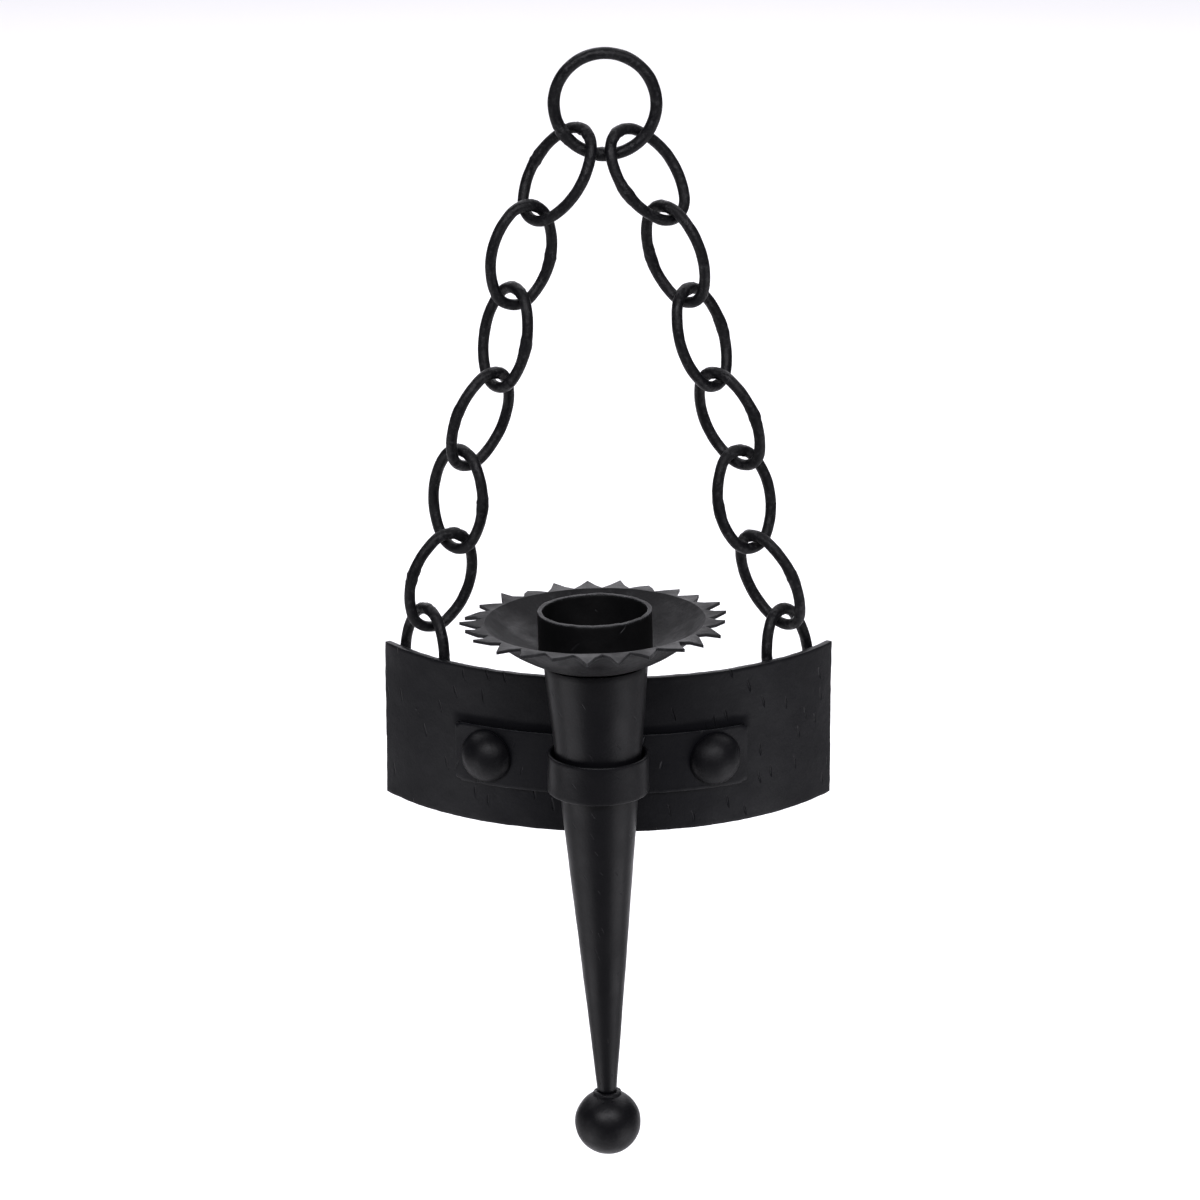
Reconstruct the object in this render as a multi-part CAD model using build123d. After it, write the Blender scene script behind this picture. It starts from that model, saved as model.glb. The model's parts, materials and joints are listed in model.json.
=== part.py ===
"""Wall sconce candle holder: a torch-shaped candle cup in a collar on a bowed wall plate, hung on two chains.

Millimetres. +X is to the right of someone facing the sconce, +Y goes into the wall, +Z is up.
The origin is where the nail carries the hanging ring: the top of the ring's inside, in the plane of the chains.
"""
from build123d import *
from math import asin, cos, degrees, radians, sin
import os

# hanging ring
RING_MEAN_R = 11.2
RING_WIRE = 2.7

# chain links: ovals of four arcs, measured to the middle of the wire
LINK_WIRE = 2.5
LINK_HALF_LENGTH = 11.4
LINK_HALF_WIDTH = 7.1
LINK_END_R = 5.2

# the height of each row's middle, then each link's place across, its lean outward, its turn about its own
# length and its offset into the wall; the links are bent by hand, so the two chains are not quite a mirror pair
ROW_Z = (-25.5, -43.3, -62.1, -80.8, -99.3, -118.1, -136.4)
LEFT_LINKS = (
    (-10.5, 32, 43, 0.1),
    (-18.4, 11, 24, -1.1),
    (-22.0, 11, 49, -0.2),
    (-27.7, 20, 41, -0.3),
    (-32.8, 3, 38, 0.0),
    (-36.8, 17, 25, -0.2),
    (-40.6, 3, 50, 0.5),
)
RIGHT_LINKS = (
    (9.3, 36, 38, -0.1),
    (15.5, 18, 37, -0.4),
    (21.4, 18, 49, -0.2),
    (27.7, 22, 38, 0.0),
    (31.1, 11, 35, -0.2),
    (37.1, 24, 43, -0.2),
    (41.2, 9, 49, 0.2),
)

# wall plate: a band bent to an arc, bowed forward, its two end edges against the wall
WALL_Y = 7.5
PLATE_X = 0.8
PLATE_R = 60.0
PLATE_T = 1.5
PLATE_HALF_ANGLE = 57.7
PLATE_TOP = -134.6
PLATE_HEIGHT = 36.0
PLATE_BACK_R = PLATE_R - PLATE_T
PLATE_AXIS_Y = WALL_Y + PLATE_BACK_R * cos(radians(PLATE_HALF_ANGLE))

# strap riveted over the front of the plate, and the collar welded to it
STRAP_T = 1.1
STRAP_HEIGHT = 13.8
STRAP_TOP = -147.5
STRAP_HALF_ANGLE = 32.4
STRAP_ANGLE = -1.8
STRAP_R = PLATE_R + STRAP_T
COLLAR_R = 11.2
COLLAR_HEIGHT = 8.7
COLLAR_LIP_R = 10.4
COLLAR_SEAT_R = 9.55
COLLAR_FLARE = 2.5

# dome rivets
RIVET_ANGLE = 24.7
RIVET_HEAD_R = 5.8
RIVET_HEAD_H = 4.8
RIVET_SHANK_R = 1.6
RIVET_TAIL_R = 3.0
RIVET_TAIL_H = 1.2

# torch, in its own frame: height 0 is level with the top of the collar, on the torch's leaning axis
TORCH_LEAN = 1.4
CONE_TOP_R = 11.5
CONE_TOP = 21.3
CONE_TIP_R = 2.1
CONE_TIP = -80.6
CONE_WALL = 1.0
PAN_UNDERSIDE = 21.6
BALL_R = 7.4
BALL_CENTRE = -87.6
SPIGOT_R = 0.8
SPIGOT_H = 4.0
CAP_T = 1.4

# drip pan and candle cup
PAN_T = 0.8
PAN_FLOOR_R = 12.6
PAN_ROOT_R = 25.0
PAN_TIP_R = 28.6
PAN_HEIGHT = 8.7
PAN_BELLY = 0.33
TEETH = 25
CUP_R = 12.5
CUP_WALL = 1.0
CUP_FLOOR = 1.0
CUP_RIM = 32.7
PIN_R = 1.6
PIN_HEAD_R = 2.6

FIT = 0.02      # gap that keeps two touching pieces of one body from sharing volume
CONE_SLOPE = (CONE_TOP_R - CONE_TIP_R) / (CONE_TOP - CONE_TIP)


def save(shape, node):
    """Write one node, checking that it is a single solid."""
    solids = shape.solids()
    assert len(solids) == 1, (node, len(solids))
    solids[0].label = node
    export_step(solids[0], f"parts/{node}.step")
    return solids[0]


def oval_path():
    """The middle line of a link: two end arcs and two long side arcs, tangent to each other, in the XZ plane."""
    rise = LINK_HALF_LENGTH - LINK_END_R
    side_r = (LINK_HALF_WIDTH**2 + rise**2 - LINK_END_R**2) / (2 * (LINK_HALF_WIDTH - LINK_END_R))
    reach = side_r - LINK_HALF_WIDTH
    length = (reach**2 + rise**2) ** 0.5
    joint = (LINK_END_R * reach / length, rise + LINK_END_R * rise / length)

    def at(x, z):
        return (x, 0, z)

    top = ThreePointArc(at(joint[0], joint[1]), at(0, LINK_HALF_LENGTH), at(-joint[0], joint[1]))
    left = ThreePointArc(at(-joint[0], joint[1]), at(-LINK_HALF_WIDTH, 0), at(-joint[0], -joint[1]))
    bottom = ThreePointArc(at(-joint[0], -joint[1]), at(0, -LINK_HALF_LENGTH), at(joint[0], -joint[1]))
    right = ThreePointArc(at(joint[0], -joint[1]), at(LINK_HALF_WIDTH, 0), at(joint[0], joint[1]))
    return Wire([top, left, bottom, right])


def link(place, z, outward, turned):
    """One link, leaning outward and turned about its own length."""
    x, lean, turn, y = place
    path = oval_path()
    section = Plane(origin=path @ 0, z_dir=path % 0) * Circle(LINK_WIRE / 2)
    body = sweep(section, path=path)
    body = Rot(0, 0, turned * turn) * body
    body = Rot(0, -outward * lean, 0) * body
    return Pos(x, y, z) * body


def make_chains():
    """Seven links a side, each turned the other way from the one above."""
    links = []
    for i, z in enumerate(ROW_Z):
        turned = -1 if i % 2 == 0 else 1
        links.append(save(link(LEFT_LINKS[i], z, -1, turned), f"left_link_{i + 1}"))
        links.append(save(link(RIGHT_LINKS[i], z, 1, -turned), f"right_link_{i + 1}"))
    return links[-2:]


def make_ring():
    ring = Rot(90, 0, 0) * Torus(RING_MEAN_R, RING_WIRE / 2)
    save(Pos(0, 0, RING_WIRE / 2 - RING_MEAN_R) * ring, "hanging_ring")


def band(inner_r, outer_r, bottom, height, centre_angle, half_angle):
    """A strip bent round the plate's axis, its middle turned centre_angle to the right of straight ahead."""
    start = centre_angle - half_angle - 90
    sweep_angle = 2 * half_angle
    outer = CenterArc((0, 0), outer_r, start, sweep_angle)
    inner = CenterArc((0, 0), inner_r, start, sweep_angle)
    face = make_face([outer, inner, Line(outer @ 0, inner @ 0), Line(outer @ 1, inner @ 1)])
    return Pos(PLATE_X, PLATE_AXIS_Y, bottom) * extrude(face, height)


def on_band(radius, angle, z):
    """A place on the plate's curve whose own +Z points out of the front."""
    x = PLATE_X + radius * sin(radians(angle))
    y = PLATE_AXIS_Y - radius * cos(radians(angle))
    return Plane(origin=(x, y, z), z_dir=(sin(radians(angle)), -cos(radians(angle)), 0))


def rivet_places():
    middle = STRAP_TOP - STRAP_HEIGHT / 2
    return {
        "left_rivet": on_band(STRAP_R, STRAP_ANGLE - RIVET_ANGLE, middle),
        "right_rivet": on_band(STRAP_R, STRAP_ANGLE + RIVET_ANGLE, middle),
    }


def rivet_holes():
    depth = 6 * (PLATE_T + STRAP_T)
    return [place * Cylinder(RIVET_SHANK_R + FIT, depth) for place in rivet_places().values()]


def make_plate():
    plate = band(
        PLATE_BACK_R, PLATE_R, PLATE_TOP - PLATE_HEIGHT, PLATE_HEIGHT, 0, PLATE_HALF_ANGLE
    )
    return save(plate - rivet_holes(), "back_plate")


def make_strap():
    strap = band(
        PLATE_R + FIT, STRAP_R, STRAP_TOP - STRAP_HEIGHT, STRAP_HEIGHT, STRAP_ANGLE, STRAP_HALF_ANGLE
    )
    return save(strap - rivet_holes(), "mounting_strap")


def make_rivets(plate, strap):
    """A domed head seated on the strap, a shank through both sheets and a flattened tail behind the plate."""
    dome_r = (RIVET_HEAD_R**2 + RIVET_HEAD_H**2) / (2 * RIVET_HEAD_H)
    grip = PLATE_T + STRAP_T
    for node, place in rivet_places().items():
        dome = Pos(0, 0, RIVET_HEAD_H - dome_r) * Sphere(dome_r)
        head = dome & Pos(0, 0, RIVET_HEAD_H) * Cylinder(2 * RIVET_HEAD_R, 2 * RIVET_HEAD_H + 1)
        shank = Pos(0, 0, -grip / 2) * Cylinder(RIVET_SHANK_R, grip + 1)
        tail = Pos(0, 0, -grip) * Sphere(RIVET_TAIL_R)
        tail &= Pos(0, 0, -grip) * Cylinder(RIVET_TAIL_R, 2 * RIVET_TAIL_H)
        tail -= Pos(0, 0, -grip + RIVET_TAIL_H / 2) * Cylinder(2 * RIVET_TAIL_R, RIVET_TAIL_H)
        outside = place * (head + shank + tail)
        save(outside - plate - strap, node)


def collar_place():
    """The collar's middle at its top edge, touching the front of the strap."""
    reach = STRAP_R + COLLAR_R + FIT
    x = PLATE_X + reach * sin(radians(STRAP_ANGLE))
    y = PLATE_AXIS_Y - reach * cos(radians(STRAP_ANGLE))
    return Pos(x, y, STRAP_TOP)


def make_collar():
    """A ring whose mouth flares, so that the torch drops in and wedges a little below the lip."""
    profile = Polyline(
        (COLLAR_R, 0),
        (COLLAR_LIP_R, 0),
        (COLLAR_SEAT_R, -COLLAR_FLARE),
        (COLLAR_SEAT_R, -COLLAR_HEIGHT),
        (COLLAR_R, -COLLAR_HEIGHT),
        close=True,
    )
    return save(collar_place() * revolve(Plane.XZ * make_face(profile)), "torch_collar")


def make_collar_weld(strap, collar):
    """The weld that fills the two narrow wedges between collar and strap."""
    length = COLLAR_HEIGHT - 2
    bead = Box(8.4, 3.0, length)
    bead = collar_place() * Pos(0, COLLAR_R, -COLLAR_HEIGHT / 2) * bead
    hole = collar_place() * Pos(0, 0, -COLLAR_HEIGHT / 2) * Cylinder(COLLAR_R + FIT, 2 * COLLAR_HEIGHT)
    behind = Pos(PLATE_X, PLATE_AXIS_Y, STRAP_TOP - COLLAR_HEIGHT / 2) * Cylinder(STRAP_R + FIT, 2 * COLLAR_HEIGHT)
    beads = sorted((bead - hole - behind).solids(), key=lambda s: s.center().X)
    assert len(beads) == 2, len(beads)
    save(beads[0], "collar_weld_left")
    save(beads[1], "collar_weld_right")


def make_link_welds(last_links, plate):
    """A bead behind each end of the plate, where the last link of each chain is welded on."""
    lowest = ROW_Z[-1] - LINK_HALF_LENGTH
    for node, links, last, side in (
        ("left_link_weld", LEFT_LINKS, last_links[0], -1),
        ("right_link_weld", RIGHT_LINKS, last_links[1], 1),
    ):
        x, lean, _, _ = links[-1]
        foot = x + side * LINK_HALF_LENGTH * sin(radians(lean))
        angle = degrees(asin((foot - PLATE_X) / PLATE_BACK_R))
        place = on_band(PLATE_BACK_R - 0.6, angle, lowest - 0.4)
        bead = place * Sphere(2.6)
        inside = Pos(PLATE_X, PLATE_AXIS_Y, lowest) * Cylinder(PLATE_BACK_R - FIT, 12)
        bead = (bead & inside) - last
        save(max(bead.solids(), key=lambda s: s.volume), node)


def torch_place():
    return collar_place() * Rot(0, -TORCH_LEAN, 0)


def turned(*points):
    """A solid turned about the torch's axis from an outline of (radius, height) points."""
    return revolve(Plane.XZ * make_face(Polyline(*points, close=True)))


def cone_r(height):
    return CONE_TIP_R + CONE_SLOPE * (height - CONE_TIP)


def make_cone():
    cone = turned(
        (cone_r(CONE_TIP), CONE_TIP),
        (cone_r(CONE_TOP), CONE_TOP),
        (cone_r(CONE_TOP) - CONE_WALL, CONE_TOP),
        (cone_r(CONE_TIP) - CONE_WALL, CONE_TIP),
    )
    save(torch_place() * cone, "torch_cone")


def make_cap():
    """The disc that closes the cone; it stands a little proud, and the drip pan sits on it."""
    bottom = PAN_UNDERSIDE - CAP_T
    inner = CONE_WALL + 2 * FIT
    cap = turned(
        (PIN_R + FIT, bottom),
        (cone_r(bottom) - inner, bottom),
        (cone_r(CONE_TOP) - inner, CONE_TOP),
        (cone_r(CONE_TOP) - inner, PAN_UNDERSIDE - FIT),
        (PIN_R + FIT, PAN_UNDERSIDE - FIT),
    )
    save(torch_place() * cap, "cone_cap")


def teeth_outline():
    """Root and tip points by turns, with one tip to the left."""
    points = []
    for i in range(TEETH):
        for radius, step in ((PAN_TIP_R, i), (PAN_ROOT_R, i + 0.5)):
            angle = radians(180 + 360 * step / TEETH)
            points.append((radius * cos(angle), radius * sin(angle)))
    return Polyline(*points, close=True)


def make_pan():
    """A dished sheet with a flat rim cut into pointed teeth."""
    top = PAN_HEIGHT
    under = PAN_HEIGHT - PAN_T
    outer = SagittaArc((PAN_FLOOR_R + 0.4, 0), (PAN_ROOT_R - 0.2, under), -PAN_BELLY)
    inner = SagittaArc((PAN_FLOOR_R, PAN_T), (PAN_ROOT_R - 0.8, top), -PAN_BELLY)
    hole = PIN_R + FIT
    edges = [
        Line((hole, 0), outer @ 0),
        outer,
        Line(outer @ 1, (PAN_ROOT_R - 0.2, top)),
        Line((PAN_ROOT_R - 0.2, top), inner @ 1),
        inner,
        Line(inner @ 0, (hole, PAN_T)),
        Line((hole, PAN_T), (hole, 0)),
    ]
    dish = revolve(Plane.XZ * make_face(edges))
    rim = extrude(make_face(teeth_outline()), PAN_T) - Cylinder(PAN_ROOT_R - 0.8, 3 * PAN_T)
    pan = dish + Pos(0, 0, under) * rim
    save(torch_place() * Pos(0, 0, PAN_UNDERSIDE) * pan, "drip_pan")


def make_cup():
    bottom = PAN_UNDERSIDE + PAN_T + FIT
    floor = bottom + CUP_FLOOR
    cup = turned(
        (PIN_R + FIT, bottom),
        (CUP_R, bottom),
        (CUP_R, CUP_RIM),
        (CUP_R - CUP_WALL, CUP_RIM),
        (CUP_R - CUP_WALL, floor),
        (PIN_HEAD_R + FIT, floor),
    )
    save(torch_place() * cup, "candle_cup")


def make_pan_rivet():
    """A flush rivet that holds cup, pan and cap together; its tail is spread under the cap."""
    floor = PAN_UNDERSIDE + PAN_T + FIT + CUP_FLOOR
    shoulder = floor - CUP_FLOOR
    bottom = PAN_UNDERSIDE - CAP_T
    rivet = turned(
        (0, floor),
        (PIN_HEAD_R, floor),
        (PIN_R, shoulder),
        (PIN_R, bottom - FIT),
        (PIN_R + 1.0, bottom - FIT),
        (PIN_R + 0.4, bottom - 1.0),
        (0, bottom - 1.0),
    )
    save(torch_place() * rivet, "pan_rivet")


def make_ball():
    """The finial: a ball with a flat for the cone's tip and a spigot up inside it."""
    ball = Pos(0, 0, BALL_CENTRE) * Sphere(BALL_R)
    ball -= Pos(0, 0, CONE_TIP - FIT + 5) * Cylinder(2 * CONE_TIP_R, 10)
    spigot = Pos(0, 0, CONE_TIP + SPIGOT_H / 2 - 0.5) * Cylinder(SPIGOT_R, SPIGOT_H + 1)
    save(torch_place() * (ball + spigot), "ball_finial")


def make_finial_weld():
    """The fillet of weld round the cone's tip."""
    foot = CONE_TIP + FIT
    weld = turned(
        (cone_r(foot) + FIT, foot),
        (cone_r(foot) + 1.3, foot),
        (cone_r(foot + 1.2) + FIT, foot + 1.2),
    )
    shield = Pos(0, 0, BALL_CENTRE) * Sphere(BALL_R + FIT)
    save(torch_place() * (weld - shield), "finial_weld")


def main():
    os.makedirs("parts", exist_ok=True)
    make_ring()
    last_links = make_chains()
    plate = make_plate()
    strap = make_strap()
    make_rivets(plate, strap)
    collar = make_collar()
    make_collar_weld(strap, collar)
    make_link_welds(last_links, plate)
    make_cone()
    make_cap()
    make_pan()
    make_cup()
    make_pan_rivet()
    make_ball()
    make_finial_weld()


main()
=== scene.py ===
"""Wall sconce candle holder: the finished look of a wrought iron torch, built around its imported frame."""

import json
from math import asin, atan2, cos, degrees, pi, radians, sin, sqrt

import bmesh
import bpy
import numpy as np
from bpy.props import FloatProperty, FloatVectorProperty, IntProperty, PointerProperty
from mathutils import Matrix, Vector

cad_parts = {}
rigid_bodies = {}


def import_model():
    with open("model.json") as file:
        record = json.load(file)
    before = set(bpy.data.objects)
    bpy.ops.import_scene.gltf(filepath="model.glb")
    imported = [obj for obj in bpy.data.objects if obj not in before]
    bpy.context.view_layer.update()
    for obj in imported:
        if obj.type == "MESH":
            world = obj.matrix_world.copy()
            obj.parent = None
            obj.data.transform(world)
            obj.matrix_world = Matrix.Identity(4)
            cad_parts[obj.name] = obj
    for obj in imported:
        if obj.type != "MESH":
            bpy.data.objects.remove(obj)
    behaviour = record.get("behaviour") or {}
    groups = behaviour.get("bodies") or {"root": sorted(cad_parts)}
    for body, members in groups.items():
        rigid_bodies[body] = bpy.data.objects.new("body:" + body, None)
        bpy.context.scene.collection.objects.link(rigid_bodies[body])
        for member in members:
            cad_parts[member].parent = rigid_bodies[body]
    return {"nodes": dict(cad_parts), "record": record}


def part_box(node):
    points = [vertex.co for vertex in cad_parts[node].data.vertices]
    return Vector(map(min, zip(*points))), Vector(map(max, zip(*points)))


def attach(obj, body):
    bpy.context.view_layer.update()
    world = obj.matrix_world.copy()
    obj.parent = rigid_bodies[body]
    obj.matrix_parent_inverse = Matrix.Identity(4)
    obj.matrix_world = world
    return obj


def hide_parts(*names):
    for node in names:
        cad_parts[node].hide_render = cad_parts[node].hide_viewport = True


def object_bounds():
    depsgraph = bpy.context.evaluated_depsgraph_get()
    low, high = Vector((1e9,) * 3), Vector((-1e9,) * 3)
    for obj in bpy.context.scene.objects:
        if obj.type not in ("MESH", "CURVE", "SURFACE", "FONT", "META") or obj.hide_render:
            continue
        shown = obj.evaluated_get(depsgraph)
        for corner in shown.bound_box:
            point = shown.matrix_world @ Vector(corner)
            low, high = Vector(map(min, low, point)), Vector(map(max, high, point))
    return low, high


bl_info = {
    "name": "Wall sconce candle holder",
    "version": (1, 0, 0),
    "blender": (4, 5, 0),
    "location": "View3D > Sidebar > Sconce",
    "description": "Builds a wrought iron torch sconce that hangs from a ring on two chains",
    "category": "Object",
}

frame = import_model()
cad_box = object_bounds()

MM = 0.001
SEED = 7
MOUNTS = {mount["name"]: mount for mount in frame["record"]["mounts"]}
LINKS_A_SIDE = 7
SHEEN_LEVEL = 0.10      # the old satin paint reflects less than fresh gloss
# the side of each link that its welded joint is on, from the top link down; -1 is the viewer's left
LEFT_JOINTS = (-1, 1, 1, -1, 1, -1, 1)
RIGHT_JOINTS = (-1, -1, 1, 1, -1, 1, -1)
# the ring's two welds: name, degrees round from its +X side, then each swelling's reach in millimetres and growth
RING_WELDS = (
    ("seam", 215, ((2.0, 1.05), (1.1, 1.07))),
    ("foot", 268, ((1.7, 1.07), (1.2, 1.09), (0.8, 1.08))),
)
# drops of spatter on the ball: degrees round it, degrees down from its top, radius in millimetres
SPATTER = (
    (-92, 22, 0.5),
    (-70, 31, 0.32),
    (-104, 33, 0.34),
    (-55, 24, 0.3),
    (-130, 26, 0.36),
    (40, 27, 0.4),
    (120, 34, 0.3),
)
PAN_GAP = 0.45 * MM     # how far the cone's top edge stops short, for the dark gap under the pan
NICK_WEAR = 0.06        # how much paint a tool mark has lost
SCUFF_GRAIN = 2.2       # how much finer the scuffs are than the dents
SHADE_BAND_DULLING = 0.5      # how much rougher the painted shade above the strap makes the paint, to darken it
LAMP_COLOUR = (0.97, 0.955, 1.0)
ROOM_COLOUR = (0.90, 0.88, 1, 1)
CAMERA_ASIDE = 1.9 * MM     # how far left of the object's middle the camera stands
# each light panel: name, which of the stage's powers and what share of it, its width and height, then its place
# and its aim from the object's middle, in metres
PANELS = (
    ("left_panel", "side_power", 1.15, (0.8, 0.8), (-0.8, -0.35, -0.65), (0, 0, 0)),
    ("right_panel", "side_power", 1.35, (0.8, 0.8), (0.8, -0.35, -0.65), (0, 0, 0)),
    ("back_panel", "side_power", 1.2, (1.6, 1.0), (0, 1.3, 0.1), (0, 0, 0)),
    ("overhead_panel", "top_power", 1, (7, 7), (0, 3.8, 3.0), (0, 3.8, 0)),
    ("front_panel", "front_power", 1, (1.5, 0.35), (0, -0.9, 0.7), (0, 0, 0)),
)


# ---------------------------------------------------------------- sizes and colours

def length(name, text, millimetres):
    return FloatProperty(name=name, description=text, default=millimetres * MM, subtype="DISTANCE",
                         unit="LENGTH")


def angle(name, text, turn):
    return FloatProperty(name=name, description=text, default=radians(turn), subtype="ANGLE", unit="ROTATION")


def colour(name, text, value):
    return FloatVectorProperty(name=name, description=text, default=value, size=3, min=0, max=1,
                               subtype="COLOR")


def share(name, text, value):
    return FloatProperty(name=name, description=text, default=value, min=0, max=1, subtype="FACTOR")


def power(name, text, watts):
    return FloatProperty(name=name, description=text, default=watts, subtype="POWER", unit="POWER")


class SconceChain(bpy.types.PropertyGroup):
    ring_wire: length("Ring wire", "Thickness of the hanging ring's wire", 2.7)
    link_wire: length("Link wire", "Thickness of a chain link's wire", 2.5)
    half_length: length("Half length", "From a link's middle to the middle of its end wire", 11.4)
    half_width: length("Half width", "From a link's middle to the middle of its side wire", 7.1)
    end_radius: length("End radius", "Radius of the arc at each end of a link", 5.2)
    unevenness: length("Unevenness", "How far the hand-drawn wire swells and thins", 0.16)
    joint_swell: share("Joint swell", "How much thicker a link is at its welded joint", 0.10)


class SconcePlate(bpy.types.PropertyGroup):
    radius: length("Radius", "Radius of the bowed plate's front", 60)
    thickness: length("Thickness", "Thickness of the plate", 1.5)
    half_angle: angle("Half angle", "Half of the arc that the plate covers", 57.7)
    strap_thickness: length("Strap thickness", "Thickness of the riveted strap", 1.1)
    strap_half_angle: angle("Strap half angle", "Half of the arc that the strap covers", 32.4)
    strap_angle: angle("Strap angle", "Where the strap's middle is on the plate", -1.8)
    rivet_angle: angle("Rivet angle", "From the strap's middle to each rivet", 24.7)
    rivet_radius: length("Rivet radius", "Radius of a rivet's dome", 6.2)
    rivet_height: length("Rivet height", "Height of a rivet's dome", 4.8)
    edge: length("Edge", "Width of the worn, rounded edges", 0.22)
    unevenness: length("Unevenness", "How far the hammered sheet waves in and out", 0.22)


class SconceTorch(bpy.types.PropertyGroup):
    collar_radius: length("Collar radius", "Outside radius of the collar", 11.2)
    collar_height: length("Collar height", "Height of the collar", 8.7)
    lip_radius: length("Lip radius", "Radius of the collar's flared mouth", 10.4)
    seat_radius: length("Seat radius", "Inside radius of the collar below the flare", 9.55)
    flare: length("Flare", "How far down the collar's mouth is flared", 2.5)
    top_radius: length("Cone top radius", "Radius of the torch's cone under the drip pan", 11.5)
    top: length("Cone top", "The cone's top above the collar's top edge", 21.3)
    tip_radius: length("Cone tip radius", "Radius of the cone where it meets the ball", 2.1)
    tip: length("Cone tip", "The cone's tip, below the collar's top edge", -80.6)
    wall: length("Wall", "Thickness of the cone's and the cup's sheet", 1.0)
    ball_radius: length("Ball radius", "Radius of the ball at the tip", 7.4)
    ball_height: length("Ball middle", "The ball's middle, below the collar's top edge", -87.6)
    pan_height: length("Pan height", "The drip pan's underside above the collar's top edge", 21.6)
    pan_sheet: length("Pan sheet", "Thickness of the drip pan's sheet", 0.8)
    pan_floor_radius: length("Pan floor radius", "Radius of the flat middle of the drip pan", 12.6)
    pan_root_radius: length("Pan root radius", "Radius of the drip pan at the foot of its teeth", 24.75)
    pan_tip_radius: length("Pan tip radius", "Radius of the drip pan at the points of its teeth", 29.2)
    pan_depth: length("Pan depth", "Height of the drip pan's rim over its underside", 8.7)
    teeth: IntProperty(name="Teeth", description="Number of teeth round the drip pan", default=25, min=5)
    cup_radius: length("Cup radius", "Outside radius of the candle cup", 12.5)
    cup_rim: length("Cup rim", "The cup's rim above the collar's top edge", 32.7)
    raggedness: length("Raggedness", "How far the hand-cut teeth stray from an even star", 0.85)


class SconceFinish(bpy.types.PropertyGroup):
    paint: colour("Paint", "The satin black paint", (0.0018, 0.0018, 0.0023))
    plate_paint: colour("Plate paint", "The paint on the plate and the strap", (0.0016, 0.0017, 0.0024))
    pan_paint: colour("Pan paint", "The paint on the drip pan", (0.0048, 0.0048, 0.0052))
    # darker than the other paint: painted shade, where the drip pan keeps the light off the cup
    cup_shade_paint: colour("Cup paint", "The sooty paint on the candle cup", (0.0014, 0.0014, 0.0015))
    worn: colour("Worn edge", "Where the paint is rubbed thin on an edge", (0.045, 0.046, 0.048))
    bead: colour("Weld", "The paint on the beads of weld", (0.0020, 0.0020, 0.0025))


class SconceStage(bpy.types.PropertyGroup):
    floor_drop: length("Floor drop", "From the object's lowest point down to the floor", 1000)
    floor_size: length("Floor size", "Half of the floor's side", 12000)
    floor_colour: colour("Floor", "The plain pale floor", (0.90, 0.90, 0.90))
    pitch: angle("Pitch", "How far the camera looks down", 17)
    distance: length("Distance", "From the camera to the torch", 1047)
    aim: length("Aim", "How far below the nail the camera looks", 112.6)
    lens: FloatProperty(name="Lens", description="Focal length of the camera", default=144.5,
                        subtype="DISTANCE_CAMERA")
    side_power: power("Side light", "Power of each side panel", 5)
    top_power: power("Top light", "Power of the overhead panel", 520)
    front_power: power("Front light", "Power of the small front panel", 28)
    room: share("Room light", "Brightness of the room round the stage", 0.12)


# ---------------------------------------------------------------- modelling by hand

def begin(name, primitive, **values):
    """Adds one primitive with nothing else selected."""
    bpy.ops.object.select_all(action="DESELECT")
    primitive(**values)
    piece = bpy.context.active_object
    piece.name = piece.data.name = name
    return piece


def edit(kind="VERT"):
    bpy.ops.object.mode_set(mode="EDIT")
    bpy.ops.mesh.select_mode(type=kind)


def leave():
    bpy.ops.object.mode_set(mode="OBJECT")


def choose(piece, kind, test):
    """In edit mode, selects the vertices or faces whose middle passes the test."""
    bpy.ops.mesh.select_mode(type=kind)
    bpy.ops.mesh.select_all(action="DESELECT")
    mesh = bmesh.from_edit_mesh(piece.data)
    if kind == "VERT":
        found = [v for v in mesh.verts if test(v.co)]
    else:
        found = [f for f in mesh.faces if test(f.calc_center_median())]
    for element in found:
        element.select_set(True)
    mesh.select_flush_mode()
    bmesh.update_edit_mesh(piece.data)


def settle():
    """Puts the selected piece's place and turn into its mesh."""
    bpy.ops.object.transform_apply(location=True, rotation=True, scale=True)


def close_up(gap=0.002):
    """Merges what a spin laid on itself and turns the faces outwards. The gap is in millimetres."""
    edit()
    bpy.ops.mesh.select_all(action="SELECT")
    bpy.ops.mesh.remove_doubles(threshold=gap * MM)
    bpy.ops.mesh.normals_make_consistent(inside=False)
    leave()


def draw(name, points):
    """A wire drawn from point to point by extruding its last vertex. Points are (radius, height)."""
    corners = [Vector((x, 0, z)) for x, z in points]
    piece = begin(name, bpy.ops.mesh.primitive_plane_add, size=MM)
    edit()
    bpy.ops.mesh.select_all(action="SELECT")
    bpy.ops.mesh.merge(type="CENTER")
    bpy.ops.mesh.select_all(action="SELECT")
    bpy.ops.transform.translate(value=corners[0])
    for here, there in zip(corners, corners[1:]):
        bpy.ops.mesh.extrude_region_move(TRANSFORM_OT_translate={"value": there - here})
    return piece


def turn_up(name, points, steps, closed=True):
    """A solid of revolution: the wire of (radius, height) points spun round the upright axis."""
    piece = draw(name, list(points) + ([points[0]] if closed else []))
    bpy.ops.mesh.select_all(action="SELECT")
    bpy.ops.mesh.spin(steps=steps, angle=2 * pi, center=(0, 0, 0), axis=(0, 0, 1))
    leave()
    close_up()
    return piece


def stretch(start, end, count):
    """Points from start to end, without the end."""
    return [tuple(a + (b - a) * i / count for a, b in zip(start, end)) for i in range(count)]


def soften(piece, width, sharpness=50, segments=2):
    """Bevels the sharp edges."""
    edit("EDGE")
    bpy.ops.mesh.select_all(action="DESELECT")
    bpy.ops.mesh.edges_select_sharp(sharpness=radians(sharpness))
    bpy.ops.mesh.bevel(offset=width, segments=segments)
    leave()


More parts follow.
